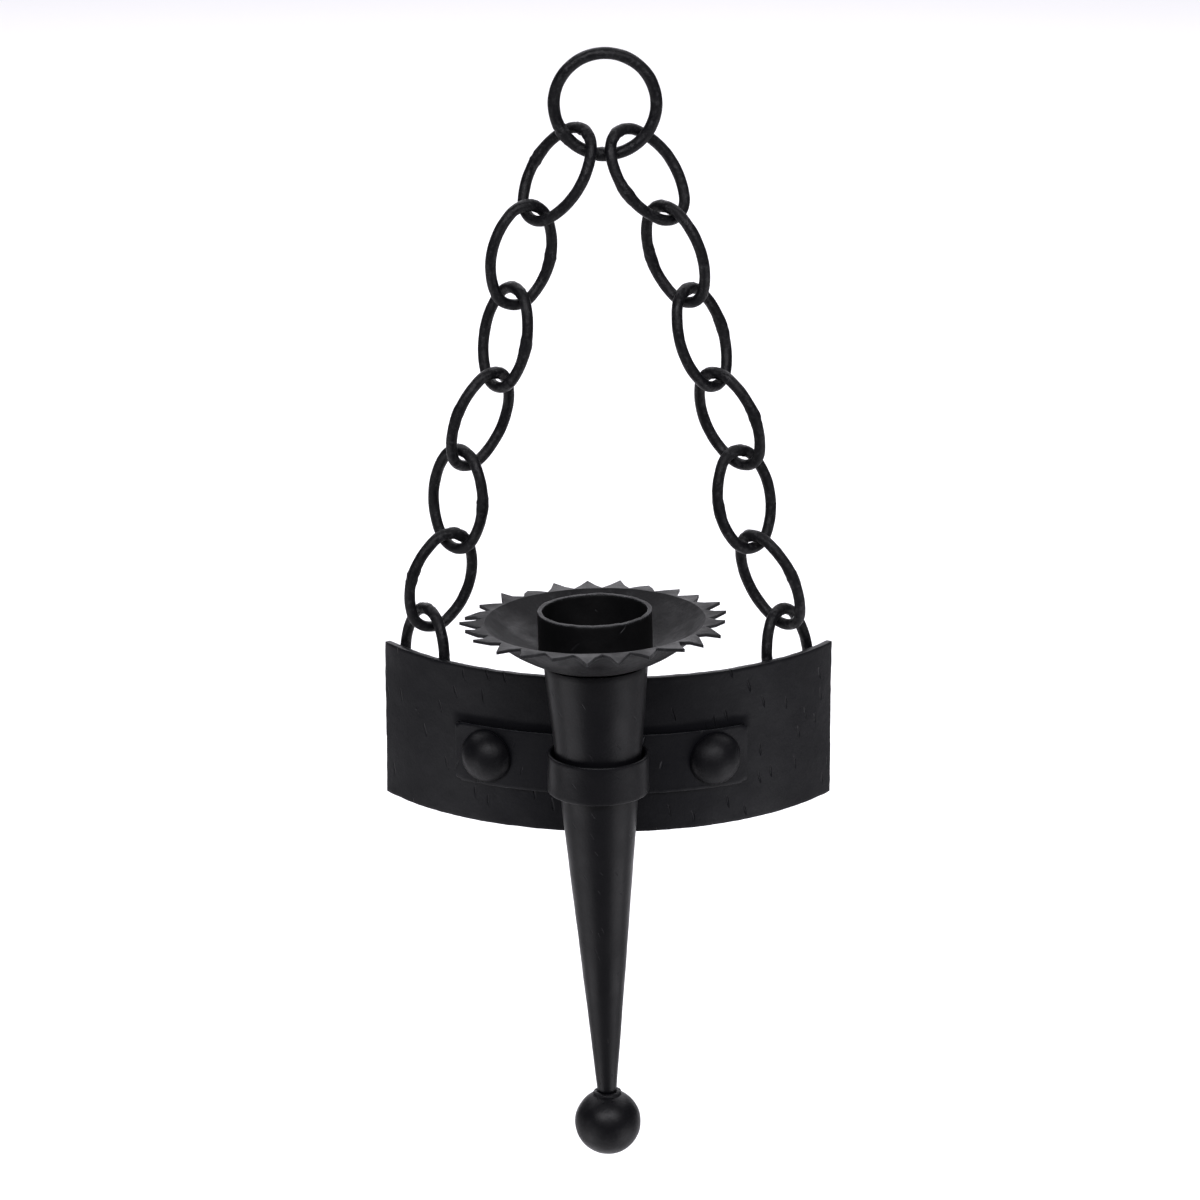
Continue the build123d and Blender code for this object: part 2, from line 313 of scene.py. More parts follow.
def roughen(piece, name, grain, depth, group=""):
    """Pushes the surface in and out by a soft cloud pattern of that grain."""
    cloud = bpy.data.textures.new(name, "CLOUDS")
    cloud.noise_scale = grain
    push = piece.modifiers.new(name, "DISPLACE")
    push.texture = cloud
    push.texture_coords = "LOCAL"
    push.strength = depth
    push.mid_level = 0.5
    push.vertex_group = group
    bpy.ops.object.modifier_apply(modifier=push.name)


def mark(piece, group, test):
    """A vertex group of the vertices that pass the test."""
    edit()
    choose(piece, "VERT", test)
    bpy.ops.object.vertex_group_assign_new()
    leave()
    piece.vertex_groups[-1].name = group


def complete(piece, body, nodes, material, smooth=40):
    """Smooths, paints and hands over a finished piece."""
    bpy.ops.object.select_all(action="DESELECT")
    piece.select_set(True)
    bpy.context.view_layer.objects.active = piece
    bpy.ops.object.shade_smooth_by_angle(angle=radians(smooth))
    piece.data.materials.clear()
    piece.data.materials.append(material)
    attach(piece, body)
    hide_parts(*nodes)


# ---------------------------------------------------------------- places on the frame

def middle(node):
    low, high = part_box(node)
    return (low + high) / 2


def plate_axis(radius):
    """The upright axis that plate and strap are bent round."""
    low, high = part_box("back_plate")
    return Vector(((low.x + high.x) / 2, low.y + radius, 0))


def torch_frame(cup_floor_to_rim):
    """The torch's leaning axis, with its origin level with the collar's top edge."""
    socket = MOUNTS["candle_socket"]
    axis = Vector(socket["axis"])
    origin = Vector(socket["pos_m"]) - axis * cup_floor_to_rim
    return origin, atan2(axis.x, axis.z)


def set_up_torch(piece):
    """Moves a piece modelled about the torch's axis to its place in the frame."""
    torch = bpy.context.scene.sconce_torch
    floor = torch.pan_height + torch.pan_sheet + torch.wall
    origin, lean = torch_frame((floor + torch.cup_rim) / 2)
    piece.rotation_euler = (0, lean, 0)
    piece.location = origin
    settle()


# ---------------------------------------------------------------- shared effects

class Board:
    """Adds and joins the nodes of one tree."""

    def __init__(self, tree):
        self.tree = tree
        self.column = 0

    def add(self, kind, settings=None, **inputs):
        node = self.tree.nodes.new(kind)
        node.location = (self.column * 180, 0)
        self.column += 1
        for key, value in (settings or {}).items():
            setattr(node, key, value)
        for key, value in inputs.items():
            self.feed(node, key, value)
        return node

    def feed(self, node, key, value):
        if key.startswith("at_"):
            socket = node.inputs[int(key[3:])]
        else:
            socket = node.inputs[key.replace("_", " ")]
        if isinstance(value, bpy.types.NodeSocket):
            self.tree.links.new(value, socket)
        else:
            socket.default_value = value

    def math(self, operation, first, second=0.5, clamp=False):
        node = self.add("ShaderNodeMath", {"operation": operation, "use_clamp": clamp}, at_0=first,
                        at_1=second)
        return node.outputs[0]

    def spread(self, value, low, high, to_low=0.0, to_high=1.0):
        """Maps a range of a value onto another, clamped."""
        node = self.add("ShaderNodeMapRange", {"interpolation_type": "SMOOTHSTEP"}, at_0=value, at_1=low,
                        at_2=high, at_3=to_low, at_4=to_high)
        return node.outputs[0]

    def noise(self, vector, scale, detail=2.0, roughness=0.5):
        node = self.add("ShaderNodeTexNoise", None, Vector=vector, Scale=scale, Detail=detail,
                        Roughness=roughness)
        return node.outputs["Fac"]


def new_group(name, inputs, outputs):
    """A shader node group with named sockets. Returns its board, its inputs and its output node."""
    tree = bpy.data.node_groups.new(name, "ShaderNodeTree")
    kinds = {"value": "NodeSocketFloat", "vector": "NodeSocketVector"}
    for label, kind, default in inputs:
        socket = tree.interface.new_socket(name=label, in_out="INPUT", socket_type=kinds[kind])
        if default is not None:
            socket.default_value = default
    for label, kind in outputs:
        tree.interface.new_socket(name=label, in_out="OUTPUT", socket_type=kinds[kind])
    board = Board(tree)
    return board, board.add("NodeGroupInput").outputs, board.add("NodeGroupOutput")


def make_edge_wear():
    """Where an edge stands out, the paint is rubbed thin in patches."""
    board, given, result = new_group(
        "edge_wear",
        [("Vector", "vector", None), ("Width", "value", 0.0004), ("Amount", "value", 0.6),
         ("Patches", "value", 400.0)],
        [("Mask", "value")],
    )
    rounded = board.add("ShaderNodeBevel", {"samples": 6}, Radius=given["Width"])
    facing = board.add("ShaderNodeNewGeometry")
    agree = board.add("ShaderNodeVectorMath", {"operation": "DOT_PRODUCT"}, at_0=rounded.outputs[0],
                      at_1=facing.outputs["Normal"])
    edge = board.spread(board.math("SUBTRACT", 1.0, agree.outputs["Value"]), 0.02, 0.16)
    patches = board.spread(board.noise(given["Vector"], given["Patches"], 3.0, 0.6), 0.38, 0.62, 0.25, 1.0)
    mask = board.math("MULTIPLY", board.math("MULTIPLY", edge, patches), given["Amount"], clamp=True)
    board.feed(result, "Mask", mask)
    return board.tree


def make_hand_forged():
    """Broad soft dents under a fine painted grain, and a slow mottle for the sheen."""
    board, given, result = new_group(
        "hand_forged",
        [("Vector", "vector", None), ("Dents", "value", 160.0), ("Grain", "value", 1600.0),
         ("Grain share", "value", 0.25)],
        [("Height", "value"), ("Mottle", "value")],
    )
    dents = board.noise(given["Vector"], given["Dents"], 2.0, 0.45)
    grain = board.noise(given["Vector"], given["Grain"], 4.0, 0.6)
    height = board.math("ADD", dents, board.math("MULTIPLY", grain, given["Grain share"]))
    mottle = board.noise(given["Vector"], board.math("MULTIPLY", given["Dents"], 0.45), 4.0, 0.6)
    board.feed(result, "Height", height)
    board.feed(result, "Mottle", board.spread(mottle, 0.3, 0.7))
    return board.tree


def make_unrolled():
    """The flat coordinates of a round sheet: its arc length and its height."""
    board, given, result = new_group(
        "unrolled",
        [("Vector", "vector", None), ("Radius", "value", 0.06)],
        [("Flat", "vector")],
    )
    split = board.add("ShaderNodeSeparateXYZ", None, Vector=given["Vector"])
    forward = board.math("MULTIPLY", split.outputs["Y"], -1.0)
    turn = board.math("ARCTAN2", split.outputs["X"], forward)
    arc = board.math("MULTIPLY", turn, given["Radius"])
    flat = board.add("ShaderNodeCombineXYZ", None, X=arc, Y=split.outputs["Z"])
    board.feed(result, "Flat", flat.outputs[0])
    return board.tree


def make_tool_marks():
    """Sparse short nicks, longer than they are wide, all leaning much the same way."""
    board, given, result = new_group(
        "tool_marks",
        [("Flat", "vector", None), ("Spacing", "value", 300.0), ("Length", "value", 7.0),
         ("Lean", "value", 0.2),
         ("Few", "value", 0.35), ("Depth", "value", 1.0)],
        [("Height", "value"), ("Mask", "value")],
    )
    wander = board.add("ShaderNodeTexNoise", None, Vector=given["Flat"], Scale=220.0, Detail=1.0)
    nudge = board.add("ShaderNodeVectorMath", {"operation": "SCALE"}, at_0=wander.outputs["Color"],
                      Scale=0.0012)
    bent = board.add("ShaderNodeVectorMath", {"operation": "ADD"}, at_0=given["Flat"], at_1=nudge.outputs[0])
    split = board.add("ShaderNodeSeparateXYZ", None, Vector=bent.outputs[0])
    slanted = board.math("ADD", split.outputs["X"], board.math("MULTIPLY", split.outputs["Y"], given["Lean"]))
    short = board.math("DIVIDE", split.outputs["Y"], given["Length"])
    cells = board.add("ShaderNodeCombineXYZ", None, X=slanted, Y=short)
    nicks = board.add("ShaderNodeTexVoronoi", {"voronoi_dimensions": "2D", "feature": "F1"},
                      Vector=cells.outputs[0], Scale=given["Spacing"])
    mask = board.spread(nicks.outputs["Distance"], 0.03, 0.11, 1.0, 0.0)
    shade = board.add("ShaderNodeSeparateColor", None, Color=nicks.outputs["Color"])
    some = board.math("GREATER_THAN", shade.outputs[0], given["Few"])
    mask = board.math("MULTIPLY", mask, some)
    board.feed(result, "Mask", mask)
    board.feed(result, "Height", board.math("MULTIPLY", board.math("MULTIPLY", mask, given["Depth"]), -1.0))
    return board.tree


def make_painted_strap_shade():
    """A ragged band of painted shade, standing in for the strap's shadow, lying just above a height, between two
    sides, fading upward.
    """
    board, given, result = new_group(
        "painted_strap_shade",
        [("Vector", "vector", None), ("Low", "value", 0.0), ("Middle", "value", 0.0),
         ("Half", "value", 0.02)],
        [("Mask", "value")],
    )
    split = board.add("ShaderNodeSeparateXYZ", None, Vector=given["Vector"])
    ragged = board.math("MULTIPLY", board.noise(given["Vector"], 260.0, 3.0), 0.0012)
    above = board.math("SUBTRACT", board.math("SUBTRACT", split.outputs["Z"], given["Low"]), ragged)
    fading = board.spread(above, 0.0004, 0.0019, 1.0, 0.0)
    started = board.spread(above, -0.0022, -0.0016)
    aside = board.math("ABSOLUTE", board.math("SUBTRACT", split.outputs["X"], given["Middle"]))
    within = board.spread(board.math("SUBTRACT", given["Half"], aside), -0.0012, 0.0012)
    line = board.math("MULTIPLY", fading, started)
    board.feed(result, "Mask", board.math("MULTIPLY", line, within))
    return board.tree


EFFECTS = {}


def effect(name):
    """A shared node group, built the first time it is asked for."""
    makers = {"edge_wear": make_edge_wear, "hand_forged": make_hand_forged, "unrolled": make_unrolled,
              "tool_marks": make_tool_marks, "painted_strap_shade": make_painted_strap_shade}
    if name not in EFFECTS:
        EFFECTS[name] = makers[name]()
    return EFFECTS[name]


IRONS = {}


def iron(name, paint, sheen=(0.34, 0.50), dents=160.0, grain=1600.0, depth=0.00012, wear=0.5,
         wear_width=0.00035,
         axis=None, radius=0.0, nicks=0.0, spacing=300.0, lean=0.2, stroke=4.0, few=0.35, shade_darkened=None,
         scuffs=0.0):
    """Satin black paint over hand-worked iron. With an axis, tool marks follow the round sheet about it."""
    if name in IRONS:
        return IRONS[name]
    finish = bpy.context.scene.sconce_finish
    material = bpy.data.materials.new(name)
    material.use_nodes = True
    material.node_tree.nodes.clear()
    board = Board(material.node_tree)
    spot = board.add("ShaderNodeTexCoord").outputs["Object"]
    forged = board.add("ShaderNodeGroup", {"node_tree": effect("hand_forged")}, Vector=spot, Dents=dents,
                       Grain=grain)
    worn = board.add("ShaderNodeGroup", {"node_tree": effect("edge_wear")}, Vector=spot, Width=wear_width,
                     Amount=wear)
    height, rubbed = forged.outputs["Height"], worn.outputs["Mask"]
    if axis is not None:
        centred = board.add("ShaderNodeMapping", None, Vector=spot, Location=-Vector(axis))
        flat = board.add("ShaderNodeGroup", {"node_tree": effect("unrolled")}, Vector=centred.outputs[0],
                         Radius=radius)
        marks = board.add("ShaderNodeGroup", {"node_tree": effect("tool_marks")}, Flat=flat.outputs[0],
                          Spacing=spacing, Lean=lean, Length=stroke, Few=few,
                          Depth=nicks)
        height = board.math("ADD", height, marks.outputs["Height"])
        rubbed = board.math("ADD", rubbed, board.math("MULTIPLY", marks.outputs["Mask"], NICK_WEAR),
                            clamp=True)
    rough = board.spread(forged.outputs["Mottle"], 0.0, 1.0, sheen[0], sheen[1])
    scraped = board.spread(board.noise(spot, SCUFF_GRAIN * dents, 4.0, 0.7), 0.52, 0.7, 0.0, scuffs)
    rubbed = board.math("ADD", rubbed, scraped, clamp=True)
    # painted shade above the strap: the band keeps the worn colour off and roughens the paint, darkening it like
    # the strap's shadow
    if shade_darkened is not None:
        low, across, half = shade_darkened
        shade_band = board.add("ShaderNodeGroup", {"node_tree": effect("painted_strap_shade")}, Vector=spot, Low=low,
                         Middle=across, Half=half)
        shade_mask = shade_band.outputs["Mask"]
        rough = board.math("ADD", rough, board.math("MULTIPLY", shade_mask, SHADE_BAND_DULLING), clamp=True)
        rubbed = board.math("SUBTRACT", rubbed, shade_mask, clamp=True)
    shade = board.add("ShaderNodeMix", {"data_type": "RGBA"}, at_0=rubbed)
    shade.inputs[6].default_value = (*paint, 1)
    shade.inputs[7].default_value = (*finish.worn, 1)
    bump = board.add("ShaderNodeBump", None, Strength=1.0, Distance=depth, Height=height)
    surface = board.add("ShaderNodeBsdfPrincipled", None, Roughness=rough, Normal=bump.outputs[0])
    board.feed(surface, "Base Color", shade.outputs[2])
    surface.inputs["Specular IOR Level"].default_value = SHEEN_LEVEL
    output = board.add("ShaderNodeOutputMaterial")
    board.feed(output, "Surface", surface.outputs[0])
    IRONS[name] = material
    return material


def chain_iron():
    return iron("chain_iron", bpy.context.scene.sconce_finish.paint, sheen=(0.34, 0.56), dents=420.0,
                grain=2400.0,
                depth=0.00042, wear=0.3, scuffs=0.22)


def plate_iron():
    plate = bpy.context.scene.sconce_plate
    low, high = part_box("mounting_strap")
    # the band of painted shade that stands in for the strap's shadow on the plate: its low edge, its middle and
    # half its width
    shade_band = (high[2], (low[0] + high[0]) / 2, (high[0] - low[0]) / 2)
    return iron("plate_iron", bpy.context.scene.sconce_finish.plate_paint, sheen=(0.40, 0.52), dents=130.0,
                grain=1500.0, depth=0.00018,
                wear=0.35, axis=plate_axis(plate.radius), radius=plate.radius, nicks=1.6, spacing=320.0,
                lean=0.2, stroke=5.0, few=0.45, shade_darkened=shade_band, scuffs=0.03)


def strap_iron():
    plate = bpy.context.scene.sconce_plate
    return iron("strap_iron", bpy.context.scene.sconce_finish.plate_paint, sheen=(0.38, 0.50), dents=150.0,
                grain=1700.0, depth=0.00012,
                wear=0.9, wear_width=0.0003, axis=plate_axis(plate.radius), radius=plate.radius, nicks=0.9,
                spacing=320.0, lean=-0.3, stroke=3.5, few=0.7)


def torch_iron():
    axis = Vector(MOUNTS["candle_socket"]["pos_m"])
    return iron("torch_iron", bpy.context.scene.sconce_finish.paint, sheen=(0.34, 0.46), dents=120.0,
                grain=1700.0, depth=0.00014,
                wear=0.6, axis=(axis.x, axis.y, 0), radius=0.011, nicks=0.35, spacing=420.0, lean=0.9,
                stroke=3.0, few=0.75)


def rivet_iron():
    return iron("rivet_iron", bpy.context.scene.sconce_finish.paint, sheen=(0.38, 0.50), dents=260.0,
                grain=1800.0, depth=0.00016, wear=0.3, scuffs=0.04)


def pan_iron():
    return iron("pan_iron", bpy.context.scene.sconce_finish.pan_paint, sheen=(0.36, 0.62), dents=190.0,
                grain=1500.0, depth=0.00024, wear=0.9, wear_width=0.0004, scuffs=0.1)


def cup_iron():
    axis = Vector(MOUNTS["candle_socket"]["pos_m"])
    # the cup's darker paint is painted shade, for the drip pan keeping the light off the cup
    return iron("cup_iron", bpy.context.scene.sconce_finish.cup_shade_paint, sheen=(0.46, 0.60), dents=240.0,
                grain=1700.0, depth=0.00014,
                wear=2.6, wear_width=0.0007, axis=(axis.x, axis.y, 0), radius=0.0125, nicks=0.8,
                spacing=260.0, lean=-0.9, stroke=3.0, few=0.6)


def weld_iron():
    return iron("weld_iron", bpy.context.scene.sconce_finish.bead, sheen=(0.34, 0.55), dents=900.0,
                grain=2600.0, depth=0.0003, wear=0.3)


# ---------------------------------------------------------------- chain

class SCONCE_OT_hanging_ring(bpy.types.Operator):
    """Bends the round ring that hangs on the nail and welds it shut"""
    bl_idname = "sconce.hanging_ring"
    bl_label = "Hanging ring"

    def execute(self, context):
        chain = context.scene.sconce_chain
        low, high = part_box("hanging_ring")
        centre = (low + high) / 2
        radius = (high.x - low.x - chain.ring_wire) / 2
        ring = begin("ring", bpy.ops.mesh.primitive_torus_add, major_segments=112, minor_segments=22,
                     major_radius=radius,
                     minor_radius=chain.ring_wire / 2, rotation=(radians(90), 0, 0), location=centre)
        settle()
        for name, turn, swells in RING_WELDS:
            seam = centre + radius * Vector((cos(radians(turn)), 0, sin(radians(turn))))
            edit()
            for reach, swell in swells:
                choose(ring, "VERT", lambda co: (co - seam).length < (reach + 0.8) * MM)
                bpy.ops.transform.resize(value=(swell, swell, swell), center_override=seam)
            leave()
            mark(ring, name, lambda co: (co - seam).length < 2.2 * MM)
        roughen(ring, "wire_swell", 4.0 * MM, chain.unevenness)
        roughen(ring, "seam_lumps", 0.8 * MM, 0.35 * MM, "seam")
        roughen(ring, "foot_lumps", 0.9 * MM, 0.35 * MM, "foot")
        complete(ring, "ring", ["hanging_ring"], chain_iron())
        return {"FINISHED"}


def bend_link(chain):
    """One link, upright and facing -Y: a round wire spun through four arcs, swollen at a weld on its -X side and at its top."""
    rise = chain.half_length - chain.end_radius
    narrowing = chain.half_width - chain.end_radius
    side_radius = (chain.half_width**2 + rise**2 - chain.end_radius**2) / (2 * narrowing)
    reach = side_radius - chain.half_width
    end_turn = atan2(reach, rise)
    side_turn = 2 * (pi / 2 - end_turn)
    wire = chain.link_wire / 2
    link = begin("link", bpy.ops.mesh.primitive_circle_add, vertices=20, radius=wire,
                 location=(0, 0, chain.half_length), rotation=(0, pi / 2, 0))
    settle()
    edit()
    bpy.ops.mesh.select_all(action="SELECT")
    for turn, steps, centre in ((end_turn, 12, (0, 0, rise)), (side_turn, 24, (reach, 0, 0)),
                                (2 * end_turn, 24, (0, 0, -rise)),
                                (side_turn, 24, (-reach, 0, 0)), (end_turn, 12, (0, 0, rise))):
        bpy.ops.mesh.spin(steps=steps, angle=turn, center=centre, axis=(0, 1, 0))
    leave()
    close_up()
    weld = Vector((-chain.half_width, 0, 0))
    crown = Vector((0, 0, chain.half_length))
    swell = 1 + chain.joint_swell / 4
    edit()
    for reach_up in (2.9, 2.2, 1.5, 0.8):
        choose(link, "VERT", lambda co: co.x < 0 and abs(co.z) < reach_up * MM)
        bpy.ops.transform.resize(value=(swell, swell, 1), center_override=weld)
        choose(link, "VERT", lambda co: co.z > 0 and abs(co.x) < reach_up * MM)
        bpy.ops.transform.resize(value=(1, swell, swell), center_override=crown)
    leave()
    mark(link, "joint", lambda co: co.x < 0 and abs(co.z) < 2.3 * MM)
    mark(link, "crown", lambda co: co.z > 0 and abs(co.x) < 2.6 * MM)
    return link


def link_place(node, joint_side):
    """Where a link is and how it is turned: its long, middle and short directions, from its CAD mesh."""
    points = np.array([v.co for v in frame["nodes"][node].data.vertices])
    centre = (points.min(0) + points.max(0)) / 2
    directions = np.linalg.eigh(np.cov((points - centre).T))[1]
    up = Vector(directions[:, 2])
    across = Vector(directions[:, 1])
    up = up if up.z > 0 else -up
    across = across if across.x * joint_side < 0 else -across
    facing = up.cross(across)
    turn = Matrix((across, facing, up)).transposed().to_4x4()
    return Matrix.Translation(Vector(centre)) @ turn


class SCONCE_OT_chain_links(bpy.types.Operator):
    """Bends one link and copies it down both chains, each copy a little different"""
    bl_idname = "sconce.chain_links"
    bl_label = "Chain links"

    def execute(self, context):
        chain = context.scene.sconce_chain
        pattern = bend_link(chain)
        for side, joints in (("left", LEFT_JOINTS), ("right", RIGHT_JOINTS)):
            for i in range(LINKS_A_SIDE):
                node = f"{side}_link_{i + 1}"
                bpy.ops.object.select_all(action="DESELECT")
                pattern.select_set(True)
                context.view_layer.objects.active = pattern
                bpy.ops.object.duplicate(linked=False)
                link = context.active_object
                link.name = link.data.name = f"{side}_chain_link_{i + 1}"
                link.matrix_world = link_place(node, joints[i])
                settle()
                roughen(link, "wire_swell", 3.2 * MM, chain.unevenness)
                roughen(link, "joint_lumps", 0.8 * MM, 0.42 * MM, "joint")
                roughen(link, "crown_lumps", 0.7 * MM, 0.4 * MM, "crown")
                body = "bracket" if i == LINKS_A_SIDE - 1 else node
                complete(link, body, [node], chain_iron())
        bpy.data.objects.remove(pattern)
        return {"FINISHED"}


# ---------------------------------------------------------------- plate and strap

def bend_band(name, node, thickness, outer_radius, centre_angle, half_angle, columns, rows):
    """A strip of sheet: its end face, a grid, is spun round the plate's axis from the left end to the right."""
    plate = bpy.context.scene.sconce_plate
    low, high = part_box(node)
    axis = plate_axis(plate.radius)
    axis.z = (low.z + high.z) / 2
    start = centre_angle - half_angle
    radius = outer_radius - thickness / 2
    end = axis + radius * Vector((sin(start), -cos(start), 0))
    band = begin(name, bpy.ops.mesh.primitive_grid_add, x_subdivisions=2, y_subdivisions=rows, size=1,
                 location=end,
                 rotation=(pi / 2, 0, start - pi / 2))
    settle()
    edit()
    bpy.ops.mesh.select_all(action="SELECT")
    bpy.ops.transform.resize(value=(thickness, thickness, high.z - low.z), center_override=end)
    bpy.ops.mesh.spin(steps=columns, angle=-2 * half_angle, center=axis, axis=(0, 0, 1))
    leave()
    close_up()
    return band


class SCONCE_OT_back_plate(bpy.types.Operator):
    """Bends the wall plate from sheet and hammers it"""
    bl_idname = "sconce.back_plate"
    bl_label = "Back plate"

    def execute(self, context):
        plate = context.scene.sconce_plate
        band = bend_band("wall_plate", "back_plate", plate.thickness, plate.radius, 0.0, plate.half_angle,
                         150, 44)
        low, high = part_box("back_plate")
        soften(band, plate.edge)
        mark(band, "edges",
             lambda co: min(co.z - low.z, high.z - co.z) < 0.9 * MM or co.y > high.y - 0.9 * MM)
        roughen(band, "hammering", 13 * MM, plate.unevenness)
        roughen(band, "sheared_edge", 2.2 * MM, 0.2 * MM, "edges")
        complete(band, "bracket", ["back_plate"], plate_iron())
        return {"FINISHED"}


class SCONCE_OT_mounting_strap(bpy.types.Operator):
    """Bends the strap that the collar is welded to"""
    bl_idname = "sconce.mounting_strap"
    bl_label = "Mounting strap"

    def execute(self, context):
        plate = context.scene.sconce_plate
        band = bend_band("strap", "mounting_strap", plate.strap_thickness,
                         plate.radius + plate.strap_thickness, plate.strap_angle,
                               plate.strap_half_angle, 90, 18)
        low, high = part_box("mounting_strap")
        edit()
        for left in (True, False):
            for top in (True, False):
                choose(band, "VERT",
                       lambda co: (co.x < low.x + 1.1 * MM if left else co.x > high.x - 1.1 * MM)
                       and (co.z > high.z - 0.1 * MM if top else co.z < low.z + 0.1 * MM))
                bpy.ops.transform.translate(value=((0.3 if left else -0.3) * MM, 0,
                                                   (-0.35 if top else 0.35) * MM))
        leave()
        soften(band, plate.edge)
        mark(band, "edges", lambda co: min(co.z - low.z, high.z - co.z) < 0.6 * MM)
        roughen(band, "hammering", 9 * MM, 0.5 * plate.unevenness)
        roughen(band, "sheared_edge", 2.0 * MM, 0.25 * MM, "edges")
        complete(band, "bracket", ["mounting_strap"], strap_iron())
        return {"FINISHED"}


class SCONCE_OT_rivets(bpy.types.Operator):
    """Turns the two domed rivets with their shanks and flattened tails"""
    bl_idname = "sconce.rivets"
    bl_label = "Rivets"

    def execute(self, context):
        plate = context.scene.sconce_plate
        radius, height = plate.rivet_radius, plate.rivet_height
        dome = (radius**2 + height**2) / (2 * height)
        spread = asin(radius / dome)
        grip = plate.thickness + plate.strap_thickness
        arc = [(dome * sin(spread * i / 20), height - dome + dome * cos(spread * i / 20)) for i in range(21)]
        arc[-1] = (radius - 0.15 * MM, 0.25 * MM)
        tail = [(3.0 * MM, -grip), (2.7 * MM, -grip - 0.7 * MM), (1.8 * MM, -grip - 1.1 * MM),
                (0, -grip - 1.2 * MM)]
        points = arc + [(radius - 0.3 * MM, 0), (1.6 * MM, 0), (1.6 * MM, -grip)] + tail
        axis = plate_axis(plate.radius)
        for side, node in ((-1, "left_rivet"), (1, "right_rivet")):
            turn = plate.strap_angle + side * plate.rivet_angle
            rivet = turn_up(f"{node}_head", points, 64, closed=False)
            reach = plate.radius + plate.strap_thickness
            rivet.rotation_euler = (pi / 2, 0, turn)
            rivet.location = (axis.x + reach * sin(turn), axis.y - reach * cos(turn),
                              middle("mounting_strap").z)
            settle()
            roughen(rivet, "hammering", 3.5 * MM, 0.14 * MM)
            complete(rivet, "bracket", [node], rivet_iron())
        return {"FINISHED"}


# ---------------------------------------------------------------- collar and welds

class SCONCE_OT_collar(bpy.types.Operator):
    """Turns the collar with its flared mouth"""
    bl_idname = "sconce.collar"
    bl_label = "Collar"

    def execute(self, context):
        torch = context.scene.sconce_torch
        outer, seat, tall = torch.collar_radius, torch.seat_radius, torch.collar_height
        points = (
            stretch((outer, -tall), (outer, 0), 10)
            + stretch((outer, 0), (torch.lip_radius, 0), 2)
            + stretch((torch.lip_radius, 0), (seat, -torch.flare), 4)
            + stretch((seat, -torch.flare), (seat, -tall), 7)
            + stretch((seat, -tall), (outer, -tall), 2)
        )
        collar = turn_up("collar", points, 96)
        low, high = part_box("torch_collar")
        collar.location = ((low.x + high.x) / 2, (low.y + high.y) / 2, high.z)
        settle()
        soften(collar, 0.28 * MM, segments=3)
        mark(collar, "edges", lambda co: min(co.z - low.z, high.z - co.z) < 0.5 * MM)
        roughen(collar, "hammering", 5 * MM, 0.12 * MM)
        roughen(collar, "filed_edge", 1.6 * MM, 0.12 * MM, "edges")
        complete(collar, "bracket", ["torch_collar"], torch_iron())
        return {"FINISHED"}


def bead(name, node, body, ripple):
    """A lump of weld in the space of its CAD node: a fine ball squeezed to it and rippled."""
    low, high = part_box(node)
    centre = (low + high) / 2
    lump = begin(name, bpy.ops.mesh.primitive_ico_sphere_add, subdivisions=5, radius=0.5, location=centre)
    settle()
    edit()
    bpy.ops.mesh.select_all(action="SELECT")
    bpy.ops.transform.resize(value=tuple(high - low), center_override=centre)
    leave()
    roughen(lump, "ripples", 1.1 * MM, ripple)
    roughen(lump, "spatter", 0.5 * MM, ripple / 3)
    complete(lump, body, [node], weld_iron(), smooth=60)


class SCONCE_OT_welds(bpy.types.Operator):
    """Lays the beads of weld behind the plate, beside the collar and round the cone's tip"""
    bl_idname = "sconce.welds"
    bl_label = "Welds"

    def execute(self, context):
        torch = context.scene.sconce_torch
        bead("left_link_bead", "left_link_weld", "bracket", 0.7 * MM)
        bead("right_link_bead", "right_link_weld", "bracket", 0.7 * MM)
        bead("collar_bead_left", "collar_weld_left", "bracket", 0.4 * MM)
        bead("collar_bead_right", "collar_weld_right", "bracket", 0.4 * MM)
        fillet = begin("tip_bead", bpy.ops.mesh.primitive_torus_add, major_segments=72, minor_segments=16,
                       major_radius=torch.tip_radius + 0.45 * MM, minor_radius=0.75 * MM,
                       location=(0, 0, torch.tip - 0.25 * MM))
        settle()
        centre = Vector((0, 0, torch.ball_height))
        for turn, down, radius in SPATTER:
            place = centre + torch.ball_radius * Vector((sin(radians(down)) * cos(radians(turn)),
                                                         sin(radians(down)) * sin(radians(turn)),
                                                         cos(radians(down))))
            drop = begin("drop", bpy.ops.mesh.primitive_ico_sphere_add, subdivisions=3, radius=radius * MM,
                         location=place)
            settle()
        bpy.ops.object.select_all(action="DESELECT")
        for part in [o for o in bpy.data.objects if o.name.startswith("drop")] + [fillet]:
            part.select_set(True)
        context.view_layer.objects.active = fillet
        bpy.ops.object.join()
        roughen(fillet, "ripples", 0.9 * MM, 0.45 * MM)
        set_up_torch(fillet)
        complete(fillet, "torch", ["finial_weld"], weld_iron(), smooth=60)
        return {"FINISHED"}


# ---------------------------------------------------------------- torch

